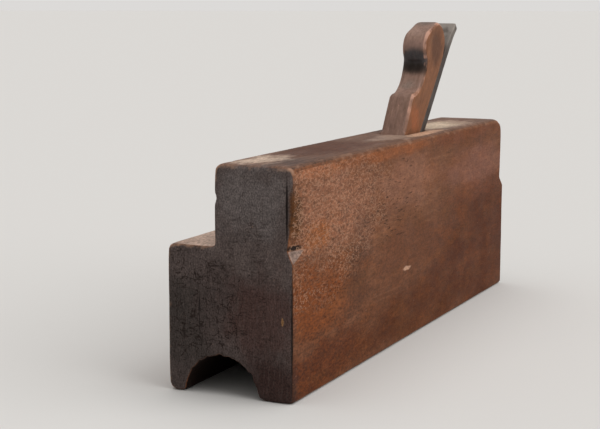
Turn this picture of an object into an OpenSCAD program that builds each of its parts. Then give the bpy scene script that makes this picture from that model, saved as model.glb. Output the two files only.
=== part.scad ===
// Wooden moulding plane that rounds over the edge of a board. A stepped beech
// stock carries a tanged iron on a sloping bed, and a tapered wedge locks it.
// Millimetres. X runs across, toward the plain blind side. Y runs from toe to
// heel. Z runs up from the sole.

/* [Stock] */
// Length from toe to heel
stock_length = 241; // [220:1:260]
// Height from sole to top
stock_height = 82.7; // [80:0.1:88]
// Width across the sole
stock_width = 49.2; // [47:0.1:54]
// Width of the grip above the shoulder, flush with the blind side
grip_width = 30.2; // [28:0.1:33]
// Height of the shoulder above the sole
shoulder_height = 53.4; // [51:0.1:58]
// Rounding of the outer edge of the shoulder
shoulder_round = 1.8; // [0.5:0.1:4]
// Rounding of the two long top edges
top_round = 2.4; // [0.5:0.1:4]
// Rounding of the top edge at the toe
toe_round = 2; // [0.5:0.1:4]
// Rounding of the top edge at the heel, for the palm
heel_round = 14; // [4:0.5:20]
// Worn rounding at both ends of the sole and along the blind edge
sole_round = 1; // [0.4:0.1:2]

/* [Half-round sole] */
// Radius of the hollow along the sole
hollow_radius = 14.3; // [13:0.1:15]
// Width of the land between the stepped side and the hollow
step_land = 6.9; // [6:0.1:9]
// Rounding of the foot on the stepped side
foot_round = 2.3; // [0.5:0.1:3]
// Rounding of the lips where the hollow meets the lands
lip_round = 1.5; // [0.5:0.1:2]

/* [Corner chamfers] */
// Inset of the chamfers on the toe and heel faces
chamfer_face = 2.2; // [1:0.1:3]
// Reach of the toe chamfer along the blind side at its lower end
toe_chamfer = 10.4; // [5:0.1:14]
// Reach of the narrow chamfer that runs up the toe above it
toe_edge = 1; // [0.6:0.1:2]
// Reach of the heel chamfer along the blind side at its lower end
heel_chamfer = 5.6; // [3:0.1:14]
// Height above the sole where the chamfers end
chamfer_end = 53.5; // [45:0.1:60]
// Height of the slanted stop under each chamfer
chamfer_stop = 4.5; // [2:0.1:10]

/* [Bed and mouth] */
// Distance from the toe to the line where the bed meets the sole
mouth_from_toe = 80.2; // [72:0.1:90]
// Slope of the bed to the sole, in degrees
bed_pitch = 48; // [46:0.5:52]
// Gap in the sole in front of the cutting edge
mouth_gap = 3.2; // [2:0.1:6]
// Slope of the wear, the wall in front of the mouth, in degrees
wear_pitch = 60; // [55:1:66]

/* [Mortise] */
// Thickness of the wall between the mortise and the blind side
blind_wall = 9; // [8:0.1:10]
// Width of the mortise
mortise_width = 12; // [11:0.1:13]
// Length of the mortise at the top of the stock
mortise_length = 25.6; // [24:0.1:28]
// Angle between the bed and the front of the mortise, in degrees
wedge_angle = 10; // [9:0.1:10.5]

/* [Escapement] */
// Radius of the shaving eye on the stepped side
eye_radius = 13.5; // [11:0.1:15]
// Radius of the eye at the blind wall
eye_inner_radius = 6; // [4:0.1:8]
// Height of the centre of the eye above the sole
eye_height = 31; // [29:0.1:34]
// Drop of the centre of the eye from the stepped side to the blind wall
eye_drop = 6; // [3:0.1:8]

/* [Iron] */
// Height of the tang above the stock, along the bed
tang_rise = 60; // [56:0.5:75]
// Thickness of the iron at the cutting edge
edge_thick = 4.8; // [4.2:0.1:5]
// Thickness of the iron at the end of the tang
tang_thick = 4; // [3.4:0.1:4.2]
// Length of the wide blade, along the bed
blade_length = 42; // [38:0.5:46]
// Radius of the shoulder between blade and tang
iron_shoulder = 8; // [4:0.5:10]
// Angle of the ground bevel to the face of the iron, in degrees
bevel_angle = 28; // [22:1:34]
// Distance of the edge above the sole lands while the iron is set back
edge_setback = 0.3; // [0.1:0.1:1]
// Narrowing of the tang from the blade to its end
tang_narrowing = 1.4; // [0.5:0.1:2.5]

/* [Wedge] */
// Distance of the ledge above the stock, along the bed
ledge_rise = 1; // [0:0.5:6]
// Distance of the thinnest part of the neck from the ledge, along the bed
neck_rise = 13; // [12:0.1:15]
// Depth of the wedge at the thinnest part of the neck
neck_depth = 12.8; // [11:0.1:14]
// Radius of the scoop that forms the neck
neck_radius = 16; // [14:0.5:20]
// Radius of the nose of the finial
nose_radius = 8.8; // [8:0.1:9.2]
// Radius of the back of the finial
crown_radius = 9.3; // [8.8:0.1:10]
// Distance of the centre of the crown from the ledge, along the bed
crown_rise = 38.7; // [37:0.1:42]
// Distance of the centre of the nose below that of the crown, along the bed
nose_drop = 7.8; // [6:0.1:9]
// Distance of the centre of the nose in front of that of the crown
nose_forward = 4.8; // [4:0.1:6]
// Width of the bevels round the wedge's front edges
arris = 1.5; // [0.5:0.1:2]
// Distance of the wedge's tip from the sole, along the bed
tip_distance = 33; // [31:0.5:40]
// Slope of the tip, which turns shavings out to the side, in degrees
tip_skew = 32; // [10:1:40]

/* [Fits] */
// Clearance between the iron and the bed
seat_gap = 0.05; // [0.02:0.01:0.1]
// Clearance on the two faces that the wedge bears on
wedge_gap = 0.12; // [0.1:0.01:0.3]
// Clearance on each side of the tang and the wedge in the mortise
side_gap = 0.2; // [0.1:0.05:0.3]
// Distance that the iron can be drawn back from its place
iron_travel = 6; // [3:0.5:8]

/* [Hidden] */
$fn = 96;
beech_side = [0.55, 0.31, 0.18];
beech_wedge = [0.52, 0.33, 0.22];
old_steel = [0.36, 0.34, 0.32];

// Overshoot of a cutter past the face that it opens
over = 1;
half_length = stock_length / 2;
half_width = stock_width / 2;
grip_left = half_width - grip_width;
hollow_x = step_land + hollow_radius - half_width;

// The bed frame: origin where the bed meets the sole, Y up the bed, Z off it
mouth_y = mouth_from_toe - half_length;
top_u = stock_height / sin(bed_pitch);
mortise_right = half_width - blind_wall;
mortise_left = mortise_right - mortise_width;
abutment_u = top_u - mortise_length * cos(bed_pitch);
abutment_v = mortise_length * sin(bed_pitch);

// Iron sizes in the bed frame
tang_end = top_u + tang_rise;
iron_taper = (edge_thick - tang_thick) / tang_end;
iron_right = mortise_right - side_gap;
iron_left = 2 * side_gap - half_width;
tang_left = mortise_left + side_gap;
slot_top = blade_length + iron_travel + over;
slot_depth = edge_thick + 0.6;
edge_u = (edge_setback - (edge_thick + seat_gap) * cos(bed_pitch)) / sin(bed_pitch);

// Wedge sizes in the bed frame
ledge_u = top_u + ledge_rise;
neck_u = ledge_u + neck_rise;
neck_at = [neck_u, wedge_back(neck_u) + neck_depth + neck_radius];
crown_u = ledge_u + crown_rise;
crown_at = [crown_u, wedge_back(crown_u) + crown_radius];
nose_at = crown_at + [-nose_drop, nose_forward];

// Height of the iron's face off the bed
function iron_face(u) = seat_gap + edge_thick - iron_taper * u;

// Height of the wedge's back off the bed
function wedge_back(u) = iron_face(u) + wedge_gap;

// Height of the front of the mortise off the bed
function abutment(u) = abutment_v + (u - abutment_u) * tan(wedge_angle);

// Height of the wedge's front off the bed
function wedge_front(u) = abutment(u) - wedge_gap / cos(wedge_angle);

// Height of the half-round sole above the lands
function sole_line(x) = sqrt(max(0, hollow_radius ^ 2 - (x - hollow_x) ^ 2));

// A flat outline in Y and Z, drawn out along X
module along_x(from, to) {
    translate([from, 0, 0])
        rotate([90, 0, 90])
            linear_extrude(to - from)
                children();
}

// A flat outline in X and Z, drawn out along Y
module along_y(from, to) {
    translate([0, to, 0])
        rotate([90, 0, 0])
            linear_extrude(to - from)
                children();
}

// Places a piece drawn in the bed frame
module on_bed() {
    translate([0, mouth_y, 0])
        rotate([bed_pitch, 0, 0])
            children();
}

// Cutter that rounds a corner at the origin, wood lying toward -X and -Y
module corner_cut(radius) {
    difference() {
        translate([-radius, -radius])
            square(radius + over);
        translate([-radius, -radius])
            circle(radius);
    }
}

// Cutter that rounds the lip of the hollow, tangent to the hollow and the land
module lip_cut() {
    reach = sqrt(hollow_radius ^ 2 + 2 * hollow_radius * lip_round);
    rise = lip_round * hollow_radius / (hollow_radius + lip_round);
    difference() {
        translate([hollow_radius / 2, -over])
            square([reach - hollow_radius / 2, rise + over]);
        translate([reach, lip_round])
            circle(lip_round);
    }
}

// Stepped section of the stock across its length
module stock_section() {
    difference() {
        union() {
            translate([-half_width, 0])
                square([stock_width, shoulder_height]);
            translate([grip_left, 0])
                square([grip_width, stock_height]);
        }
        translate([hollow_x, 0]) {
            circle(hollow_radius);
            lip_cut();
            mirror([1, 0]) lip_cut();
        }
        translate([half_width, stock_height]) corner_cut(top_round);
        translate([grip_left, stock_height]) mirror([1, 0]) corner_cut(top_round);
        translate([-half_width, shoulder_height]) mirror([1, 0]) corner_cut(shoulder_round);
        translate([-half_width, 0]) rotate(180) corner_cut(foot_round);
        translate([half_width, 0]) mirror([0, 1]) corner_cut(sole_round);
    }
}

// Side outline of the stock, which rounds its ends
module stock_side() {
    difference() {
        translate([-half_length, 0])
            square([stock_length, stock_height]);
        translate([-half_length, stock_height]) mirror([1, 0]) corner_cut(toe_round);
        translate([half_length, stock_height]) corner_cut(heel_round);
        translate([-half_length, 0]) rotate(180) corner_cut(sole_round);
        translate([half_length, 0]) mirror([0, 1]) corner_cut(sole_round);
    }
}

// Cutter for a stopped chamfer on an upright corner at the origin: it starts at
// a share of its depth below the top edge, deepens as a scoop toward its lower
// end, and runs out there in a slanted stop
module stopped_chamfer(reach, share, end) {
    steps = 8;
    top = stock_height - 2 * toe_round;
    depth = chamfer_face * reach / norm([chamfer_face, reach]);
    scoop = [
        for (i = [0 : steps])
            let (s = i / steps)
            [-depth * (share + (1 - share) * s ^ 2), top + (end - top) * s]
    ];
    rotate([0, 0, -atan2(chamfer_face, reach)])
        rotate([90, 0, 0])
            linear_extrude(4 * (reach + chamfer_face), center = true)
                polygon(concat(
                    [[depth, stock_height + over], [-depth * share, stock_height + over]],
                    scoop,
                    [[depth, end - 2 * chamfer_stop]]
                ));
}

// The cut for the iron's blade, from the stepped side to the blind wall, with
// room above the blade and its shoulder to draw the iron back
module blade_slot() {
    low = -2 * edge_thick;
    shoulder_left = tang_left - iron_shoulder - over;
    on_bed()
        linear_extrude(slot_depth) {
            translate([-half_width - over, low])
                square([half_width + over + mortise_right, slot_top - low]);
            translate([shoulder_left, low])
                square([mortise_right - shoulder_left, slot_top + iron_shoulder - low]);
        }
}

// The tapered mortise for tang and wedge
module mortise() {
    low = tip_distance / 2;
    high = top_u + 2 * mortise_width;
    on_bed()
        along_x(mortise_left, mortise_right)
            polygon([[low, 0], [high, 0], [high, abutment(high)], [low, abutment(low)]]);
}

// The throat between the wear and the iron, open to the sole
module throat() {
    front = mouth_y - iron_face(0) / sin(bed_pitch) - mouth_gap;
    along_x(-half_width - over, iron_right - side_gap)
        polygon([
            [front - over / tan(wear_pitch), -over],
            [mouth_y - over / tan(bed_pitch), -over],
            [mouth_y + eye_height / tan(bed_pitch), eye_height],
            [front + eye_height / tan(wear_pitch), eye_height]
        ]);
}

// The round shaving eye, a cone that narrows and drops toward the blind wall
module eye() {
    centre_y = mouth_y + eye_height / tan(bed_pitch) - iron_face(0) / sin(bed_pitch) - eye_radius;
    depth = half_width + mortise_right;
    tilt = atan(eye_drop / depth);
    long = depth / cos(tilt);
    flare = (eye_radius - eye_inner_radius) / long;
    past = 3 * over;
    intersection() {
        translate([-half_width, centre_y, eye_height])
            rotate([0, 90 + tilt, 0])
                translate([0, 0, -past])
                    cylinder(
                        h = long + 2 * past,
                        r1 = eye_radius + past * flare,
                        r2 = eye_inner_radius - past * flare
                    );
        translate([mortise_right - over - 2 * stock_width, -half_length, 0])
            cube([2 * stock_width, stock_length, stock_height]);
    }
}

// Everything cut away for the iron, the wedge and the shavings
module iron_way() {
    union() {
        blade_slot();
        mortise();
        throat();
        eye();
    }
}

// The beech stock
module stock() {
    color(beech_side)
        difference() {
            intersection() {
                along_y(-half_length, half_length) stock_section();
                along_x(-half_width, half_width) stock_side();
            }
            iron_way();
            translate([half_width, -half_length, 0]) {
                stopped_chamfer(toe_chamfer, 0, chamfer_end);
                stopped_chamfer(toe_edge, 1, chamfer_end + chamfer_stop);
            }
            translate([half_width, half_length, 0])
                mirror([0, 1, 0])
                    stopped_chamfer(heel_chamfer, 0.8, chamfer_end);
        }
}

// Outline of the iron seen square to its face: wide blade, curved shoulder, tang
module iron_outline() {
    corner = 5;
    shoulder_top = blade_length + iron_shoulder;
    difference() {
        union() {
            polygon([
                [iron_left, -2 * edge_thick],
                [iron_right, -2 * edge_thick],
                [iron_right, tang_end],
                [tang_left + tang_narrowing, tang_end],
                [tang_left, shoulder_top],
                [tang_left, blade_length],
                [iron_left, blade_length]
            ]);
            translate([tang_left - iron_shoulder, blade_length - over])
                square([iron_shoulder, iron_shoulder + over]);
        }
        translate([tang_left - iron_shoulder, shoulder_top])
            circle(iron_shoulder);
        translate([iron_left, blade_length])
            mirror([1, 0])
                corner_cut(corner);
        translate([iron_right, tang_end])
            corner_cut(tang_narrowing);
        translate([tang_left + tang_narrowing, tang_end])
            mirror([1, 0])
                corner_cut(tang_narrowing);
    }
}

// Cutter below the cutting edge, drawn out along the ground bevel so that the
// edge follows the half-round sole where the iron's face meets it
module edge_relief() {
    steps = 60;
    lift = (edge_thick + seat_gap) * cos(bevel_angle);
    line = [
        for (i = [0 : steps])
            let (x = hollow_x - hollow_radius * cos(180 * i / steps))
            [x, (edge_u + sole_line(x) / sin(bed_pitch)) * sin(bevel_angle) + lift]
    ];
    flat = edge_u * sin(bevel_angle) + lift;
    rotate([90 - bevel_angle, 0, 0])
        linear_extrude(8 * edge_thick, center = true)
            polygon(concat(
                [[-stock_width, -stock_width], [-stock_width, flat]],
                line,
                [[stock_width, flat], [stock_width, -stock_width]]
            ));
}

// The tanged iron, thickest at its edge
module iron() {
    color(old_steel)
        on_bed()
            difference() {
                intersection() {
                    linear_extrude(2 * edge_thick) iron_outline();
                    along_x(-half_width, half_width)
                        polygon([
                            [-2 * edge_thick, seat_gap],
                            [tang_end, seat_gap],
                            [tang_end, iron_face(tang_end)],
                            [-2 * edge_thick, iron_face(-2 * edge_thick)]
                        ]);
                }
                edge_relief();
            }
}

// Body of the wedge seen from the side, up to the scooped neck
module wedge_outline() {
    difference() {
        polygon([
            [tip_distance, wedge_back(tip_distance)],
            [crown_at[0], wedge_back(crown_at[0])],
            crown_at,
            nose_at,
            [nose_at[0] - nose_radius, nose_at[1] + 1],
            [ledge_u, wedge_front(ledge_u)],
            [tip_distance, wedge_front(tip_distance)]
        ]);
        translate(neck_at) circle(neck_radius);
    }
}

// A disc of the finial with bevelled rims, standing across the wedge
module finial_disc(radius, width) {
    rotate([0, 90, 0]) {
        cylinder(h = width - 2 * arris, r = radius, center = true);
        for (side = [-1, 1])
            scale([1, 1, side])
                translate([0, 0, width / 2 - arris])
                    cylinder(h = arris, r1 = radius, r2 = radius - arris);
    }
}

// The finial: nose and crown joined along the line that touches both
module finial(width) {
    run = crown_at - nose_at;
    slope = atan2(run[1], run[0]) + 90 - asin((crown_radius - nose_radius) / norm(run));
    away = [cos(slope), sin(slope)];
    nose_touch = nose_at + nose_radius * away;
    crown_touch = crown_at + crown_radius * away;
    translate([0, nose_at[0], nose_at[1]]) finial_disc(nose_radius, width);
    translate([0, crown_at[0], crown_at[1]]) finial_disc(crown_radius, width);
    difference() {
        along_x(-width / 2, width / 2)
            polygon([nose_at, crown_at, crown_touch, nose_touch]);
        for (side = [-1, 1])
            edge_bevel(nose_touch, crown_touch, side * width / 2);
    }
}

// Cutter for the bevel along a straight edge of the wedge
module edge_bevel(from, to, x) {
    run = to - from;
    translate([x, from[0], from[1]])
        rotate([atan2(run[1], run[0]), 0, 0])
            translate([0, norm(run) / 2, 0])
                rotate([0, 45, 0])
                    cube([sqrt(2) * arris, norm(run) + 2 * arris, sqrt(2) * arris], center = true);
}

// The wedge with its finial
module wedge() {
    width = mortise_width - 2 * side_gap;
    tip = [tip_distance, wedge_back(tip_distance)];
    ledge = [ledge_u, wedge_front(ledge_u)];
    stop = [abutment_u + 3, wedge_front(abutment_u + 3)];
    color(beech_wedge)
        on_bed()
            translate([(mortise_left + mortise_right) / 2, 0, 0]) {
                difference() {
                    along_x(-width / 2, width / 2) wedge_outline();
                    for (side = [-1, 1]) {
                        edge_bevel(stop, ledge, side * width / 2);
                        translate([side * width / 2, neck_at[0], neck_at[1]])
                            rotate([0, -90 * side, 0])
                                cylinder(h = arris, r1 = neck_radius + arris, r2 = neck_radius);
                    }
                    translate([width / 2, tip[0], 0])
                        rotate([0, 0, 180 - tip_skew])
                            translate([0, 0, -over])
                                cube([3 * mortise_width, mortise_width, 2 * mortise_length]);
                }
                finial(width);
            }
}

stock();
iron();
wedge();
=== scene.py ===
"""Dresses a wooden moulding plane: worn beech stock, tanged steel iron and finial wedge.

Blender lengths are metres in the frame of the CAD model: X across the stock, Y from
toe to heel, Z up from the sole. Sizes and places in fields are millimetres in the same
frame, apart from those that end in _m, and angles are degrees.
"""

import logging
import math
from collections.abc import Mapping, Sequence
from dataclasses import dataclass, field
from enum import Enum

import bpy
import numpy as np
from mathutils import Matrix, Vector, noise


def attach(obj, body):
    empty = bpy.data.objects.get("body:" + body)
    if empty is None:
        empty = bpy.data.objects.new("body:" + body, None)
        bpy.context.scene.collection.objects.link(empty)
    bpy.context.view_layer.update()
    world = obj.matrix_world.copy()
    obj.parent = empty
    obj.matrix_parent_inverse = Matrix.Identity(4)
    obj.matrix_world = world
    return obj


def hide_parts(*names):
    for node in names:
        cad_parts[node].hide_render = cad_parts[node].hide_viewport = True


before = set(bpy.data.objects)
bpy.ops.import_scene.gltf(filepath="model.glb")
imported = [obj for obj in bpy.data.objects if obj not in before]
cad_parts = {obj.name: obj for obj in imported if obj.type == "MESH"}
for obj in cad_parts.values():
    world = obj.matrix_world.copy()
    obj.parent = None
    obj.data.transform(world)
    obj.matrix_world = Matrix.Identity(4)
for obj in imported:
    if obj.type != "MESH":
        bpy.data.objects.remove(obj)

LOG = logging.getLogger("moulding_plane")
MM = 0.001
PHOTO_WIDTH = 600
# Blender's noise lies mostly between the first and the last of these values.
NOISE_LOW, NOISE_MIDDLE, NOISE_HIGH = 0.3, 0.5, 0.7
NOISE_ROUGHNESS = 0.55
Span = tuple[float, float]
Triple = tuple[float, float, float]
Socket = bpy.types.NodeSocket
Inputs = Mapping[str | int, object]
BLIND: Triple = (1.0, 0.0, 0.0)
HEEL: Triple = (0.0, 1.0, 0.0)
UP: Triple = (0.0, 0.0, 1.0)


def linear(colour: str) -> tuple[float, float, float, float]:
    """Turns an sRGB hex colour into linear light.

    Args:
        colour: Six hex digits after a hash sign.

    Returns:
        Linear red, green, blue and an alpha of one.
    """
    parts = [int(colour[i : i + 2], 16) / 255 for i in (1, 3, 5)]
    light = [c / 12.92 if c <= 0.04045 else ((c + 0.055) / 1.055) ** 2.4 for c in parts]
    return (*light, 1.0)


def add(tree: bpy.types.NodeTree, kind: str, inputs: Inputs, **settings: object) -> Socket:
    """Adds one node with its settings and links.

    Args:
        tree: Node tree that takes the node.
        kind: Blender's name for the node type.
        inputs: Socket name or index, and the socket to link or the value to set there.
        settings: Properties of the node itself.

    Returns:
        The first output that is in use.
    """
    made = tree.nodes.new(kind)
    for key, value in settings.items():
        setattr(made, key, value)
    for key, value in inputs.items():
        if isinstance(value, Socket):
            tree.links.new(value, made.inputs[key])
        else:
            made.inputs[key].default_value = value
    return next(s for s in made.outputs if s.enabled)


class Lie(Enum):
    """Which way the length of a piece runs, as a slope above the sole in degrees."""

    ALONG_STOCK = 0.0
    UP_WEDGE = 52.0
    UP_BED = 48.0


@dataclass(frozen=True)
class Zone:
    """The surfaces inside an ellipsoid with ragged borders.

    A zone that names a facing takes only the surfaces that face that way or its
    opposite, and turn gives the cosines at which a surface starts to count and counts.
    """

    at_mm: Triple
    reach_mm: Triple
    strength: float
    ragged: float = 0.5
    grain_mm: float = 7.0
    facing: Triple | None = None
    turn: Span = (0.93, 0.98)
    # Tears in the border: how much longer than wide they are, and how far they go.
    stretch: float = 2.6
    tear: float = 2.6
    # Shares of the reach at which a zone ends and at which it has its full strength.
    fade: Span = (1.1, 0.35)


@dataclass(frozen=True)
class Patch:
    """A stain, a rubbed place or a bruise: a colour laid over a zone."""

    colour: str
    zone: Zone


@dataclass(frozen=True)
class Tones:
    """The dark, middle and light colours of one cut through the wood."""

    dark: str
    middle: str
    light: str


@dataclass
class Site:
    """A material's node tree, with the place and normal of each point of the piece."""

    tree: bpy.types.NodeTree
    lie: Lie
    here: Socket = field(init=False)
    grain: Socket = field(init=False)
    normal: Socket = field(init=False)

    def __post_init__(self) -> None:
        """Finds the place in millimetres, also turned so that Y runs along the piece."""
        where = add(self.tree, "ShaderNodeTexCoord", {}).node.outputs
        self.normal = where["Normal"]
        self.here, self.grain = (
            add(
                self.tree,
                "ShaderNodeMapping",
                {
                    "Vector": where["Object"],
                    "Rotation": (-math.radians(slope), 0, 0),
                    "Scale": (1 / MM,) * 3,
                },
            )
            for slope in (0.0, self.lie.value)
        )

    def pattern(self, size_mm: Triple, seed: float, detail: float = 3.0) -> Socket:
        """Lays noise whose blots have a given size.

        Args:
            size_mm: Size of a blot across, along and up the piece.
            seed: Offset that tells one pattern from the next.
            detail: Octaves of the noise.

        Returns:
            The noise from zero to one.
        """
        scale = tuple(1 / s for s in size_mm)
        place = add(
            self.tree, "ShaderNodeVectorMath", {0: self.grain, 1: scale}, operation="MULTIPLY"
        )
        return add(
            self.tree,
            "ShaderNodeTexNoise",
            {
                "Vector": place,
                "W": seed,
                "Scale": 1.0,
                "Detail": detail,
                "Roughness": NOISE_ROUGHNESS,
            },
            noise_dimensions="4D",
        )

    def lines(self, size_mm: Triple, seed: float, width: float) -> Socket:
        """Draws thin lines where a pattern crosses its middle value.

        Args:
            size_mm: Size of the pattern's blots.
            seed: Offset that tells one pattern from the next.
            width: Half the span of values that counts as line, a quarter of it in full.

        Returns:
            One on the lines, zero beside them.
        """
        value = add(
            self.tree,
            "ShaderNodeMath",
            {0: self.pattern(size_mm, seed), 1: NOISE_MIDDLE},
            operation="SUBTRACT",
        )
        value = add(self.tree, "ShaderNodeMath", {0: value}, operation="ABSOLUTE")
        return add(
            self.tree,
            "ShaderNodeMapRange",
            {"Value": value, "From Min": width, "From Max": width / 4},
            interpolation_type="SMOOTHSTEP",
        )

    def facing(self, way: Triple, span: Span) -> Socket:
        """Finds the surfaces that face a way or its opposite.

        Args:
            way: Direction in the frame of the piece.
            span: Cosines at which a surface starts to count and counts in full.

        Returns:
            One on those surfaces, zero elsewhere.
        """
        turn = add(
            self.tree,
            "ShaderNodeVectorMath",
            {0: self.normal, 1: Vector(way).normalized()},
            operation="DOT_PRODUCT",
        )
        turn = add(self.tree, "ShaderNodeMath", {0: turn}, operation="ABSOLUTE")
        return add(
            self.tree,
            "ShaderNodeMapRange",
            {"Value": turn, "From Min": span[0], "From Max": span[1]},
            interpolation_type="SMOOTHSTEP",
        )

    def inside(self, zone: Zone) -> Socket:
        """Finds how far a place lies inside a zone.

        Args:
            zone: The zone.

        Returns:
            The zone's strength well inside, zero outside.
        """
        off = add(
            self.tree, "ShaderNodeVectorMath", {0: self.here, 1: zone.at_mm}, operation="SUBTRACT"
        )
        scale = tuple(1 / r for r in zone.reach_mm)
        off = add(self.tree, "ShaderNodeVectorMath", {0: off, 1: scale}, operation="MULTIPLY")
        far = add(self.tree, "ShaderNodeVectorMath", {0: off}, operation="LENGTH")
        size = (zone.grain_mm, zone.grain_mm * zone.stretch, zone.grain_mm)
        rag = self.pattern(size, zone.at_mm[1] + zone.at_mm[2], 4.0)
        tear = zone.tear * zone.ragged
        torn = add(
            self.tree, "ShaderNodeMath", {0: rag, 1: tear, 2: far}, operation="MULTIPLY_ADD"
        )
        share: Socket | float = zone.strength
        if zone.facing:
            turned = self.facing(zone.facing, zone.turn)
            share = add(
                self.tree, "ShaderNodeMath", {0: turned, 1: share}, operation="MULTIPLY"
            )
        end, full = (tear * NOISE_MIDDLE + part for part in zone.fade)
        return add(
            self.tree,
            "ShaderNodeMapRange",
            {"Value": torn, "From Min": end, "From Max": full, "To Max": share},
            interpolation_type="SMOOTHSTEP",
        )

    def most(self, zones: Sequence[Zone]) -> Socket | float:
        """Joins zones into one mask.

        Args:
            zones: The zones, perhaps none.

        Returns:
            The strongest zone at each place.
        """
        joined: Socket | float = 0.0
        for zone in zones:
            joined = add(
                self.tree,
                "ShaderNodeMath",
                {0: self.inside(zone), 1: joined},
                operation="MAXIMUM",
            )
        return joined

    def layer(
        self,
        base: Socket | str,
        top: Socket | str,
        value: Socket,
        span: Span = (0.0, 1.0),
        share: Socket | float = 1.0,
    ) -> Socket:
        """Lays a colour over another where a value runs through a span.

        Args:
            base: Colour underneath.
            top: Colour on top.
            value: Value that decides where the top colour shows.
            span: Value at which it starts to show, and value at which it shows most.
            share: How much of it shows there.

        Returns:
            The mixed colour.
        """
        mask = add(
            self.tree,
            "ShaderNodeMapRange",
            {"Value": value, "From Min": span[0], "From Max": span[1], "To Max": share},
            interpolation_type="SMOOTHSTEP",
        )
        under, over = (linear(c) if isinstance(c, str) else c for c in (base, top))
        return add(self.tree, "ShaderNodeMix", {0: mask, 6: under, 7: over}, data_type="RGBA")


@dataclass(frozen=True)
class AgedBeech:
    """Planed European beech, oiled and handled for a century.

    The long grain is smooth, with soft clouds of colour in the old oil, faint streaks
    and scattered short ray flecks. The end grain is dirty and dark, with upright rays
    and fine checks, and arrises are rubbed pale. The oil gives a satin sheen that is
    duller on end grain.
    """

    name: str
    lie: Lie
    side: Tones
    face: Tones
    end: Tones
    rubbed: str
    bruised: str
    pore: str
    hues: tuple[str, ...] = ()
    patches: tuple[Patch, ...] = ()
    # Where scuffs, many flecks, opened grain and many checks lie.
    scuffed: tuple[Zone, ...] = ()
    flecked: tuple[Zone, ...] = ()
    opened: tuple[Zone, ...] = ()
    checked: tuple[Zone, ...] = ()
    # Cosines at which a surface starts to be end grain, or top and sole, and is so fully.
    end_turn: Span = (0.6, 0.85)
    flat_turn: Span = (0.45, 0.85)
    # Noise values of the dark and the light tone, and how much broad and fine noise show.
    dark_at: float = 0.72
    light_at: float = 0.28
    broad_share: float = 0.6
    fine_share: float = 0.5
    # Part of drifting tone among the rings, and part of the rings among the end's rays.
    drift_part: float = 0.6
    end_ring_part: float = 0.4
    # How much the clouds of other hues show, and the noise values at which they do.
    hue_share: float = 0.13
    hue_span: Span = (0.5, 0.66)
    # How far the fine mottle swings on sound wood, where the grain has opened, and on ends.
    sound_swing: float = 1.3
    open_swing: float = 2.8
    end_swing: float = 3.0
    # How far larger blots swing, and the least light that mottle and blots leave.
    blot_swing: float = 0.16
    least_light: float = 0.3
    # Flecks and checks outside the zones that have many.
    few_flecks: float = 0.3
    few_checks: float = 0.12
    # How far noise tears the rubbed arrises, where they show and how much.
    rub_tear: float = 1.1
    rub_span: Span = (0.8, 1.3)
    rub_share: float = 0.7
    # Roughness of oiled long grain and its swing, and what ends, marks and rubbing add.
    roughness: float = 0.6
    sheen_swing: float = 0.3
    end_rough: float = 0.16
    mark_rough: float = 0.15
    rub_rough: float = 0.05
    ior: float = 1.5
    specular: float = 0.14
    # Height of the relief and how much it shows, and what grit and marks do to it.
    relief_mm: float = 0.25
    relief_share: float = 0.55
    grit_height: float = 0.5
    mark_height: float = -0.8
    # Ray flecks in beech are 2 to 6 mm long and under half a millimetre high; they are
    # drawn higher here, because half a millimetre is one pixel of the picture.
    fleck_mm: Triple = (0.9, 4.6, 0.8)
    # Streaks of the long grain are a few tenths of a millimetre wide, drawn coarser
    # for the same reason, and so are the pores and the dirt in them.
    streak_mm: Triple = (1.3, 30.0, 1.1)
    mottle_mm: Triple = (0.8, 1.7, 0.8)
    stroke_mm: Triple = (0.5, 3.0, 0.7)
    blot_mm: Triple = (2.6, 6.0, 2.6)
    # Glints: pale specks painted as glints of light.
    glint_mm: Triple = (1.0, 2.0, 1.0)
    pore_mm: Triple = (0.8, 2.0, 0.8)
    pit_mm: Triple = (1.2, 3.0, 1.0)
    grit_mm: Triple = (0.7, 1.4, 0.7)
    # Growth rings on the long grain and on the ends, and the rays that cross them there.
    ring_mm: Triple = (60.0, 160.0, 3.4)
    end_ring_mm: Triple = (14.0, 60.0, 1.5)
    ray_mm: Triple = (0.8, 8.0, 18.0)
    pale_ray_mm: Triple = (1.2, 30.0, 16.0)
    # Drying checks along the rings and along the rays, and scuffs.
    ring_check_mm: Triple = (13.0, 30.0, 4.5)
    ray_check_mm: Triple = (4.5, 30.0, 16.0)
    scuff_mm: Triple = (1.6, 2.8, 1.6)
    # Slow changes of tone on the long grain and the ends, of hue, of sheen and of rubbing.
    drift_mm: Triple = (16.0, 34.0, 15.0)
    end_drift_mm: Triple = (16.0, 40.0, 20.0)
    cloud_mm: Triple = (11.0, 24.0, 9.0)
    sheen_mm: Triple = (9.0, 16.0, 9.0)
    rub_mm: Triple = (3.0, 6.0, 3.0)

    def material(self) -> bpy.types.Material:
        """Builds the material with its nodes.

        Returns:
            A new material.
        """
        made = bpy.data.materials.new(self.name)
        made.use_nodes = True
        tree = made.node_tree
        site = Site(tree, self.lie)
        slope = math.radians(self.lie.value)
        across = site.facing((0, math.cos(slope), math.sin(slope)), self.end_turn)
        flat = site.facing((0, -math.sin(slope), math.cos(slope)), self.flat_turn)
        colour = self._long_grain(site, flat)
        colour = self._end_grain(site, across, colour)
        for patch in self.patches:
            colour = site.layer(colour, patch.colour, site.inside(patch.zone))
        colour = self._clouds(site, across, flat, colour)
        colour = self._mottle(site, across, colour)
        colour, marks = self._marks(site, across, colour)
        colour, rub = self._arrises(site, colour)
        shader = tree.nodes["Principled BSDF"]
        tree.links.new(colour, shader.inputs["Base Color"])
        self._surface(site, shader, across, marks, rub)
        return made

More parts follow.
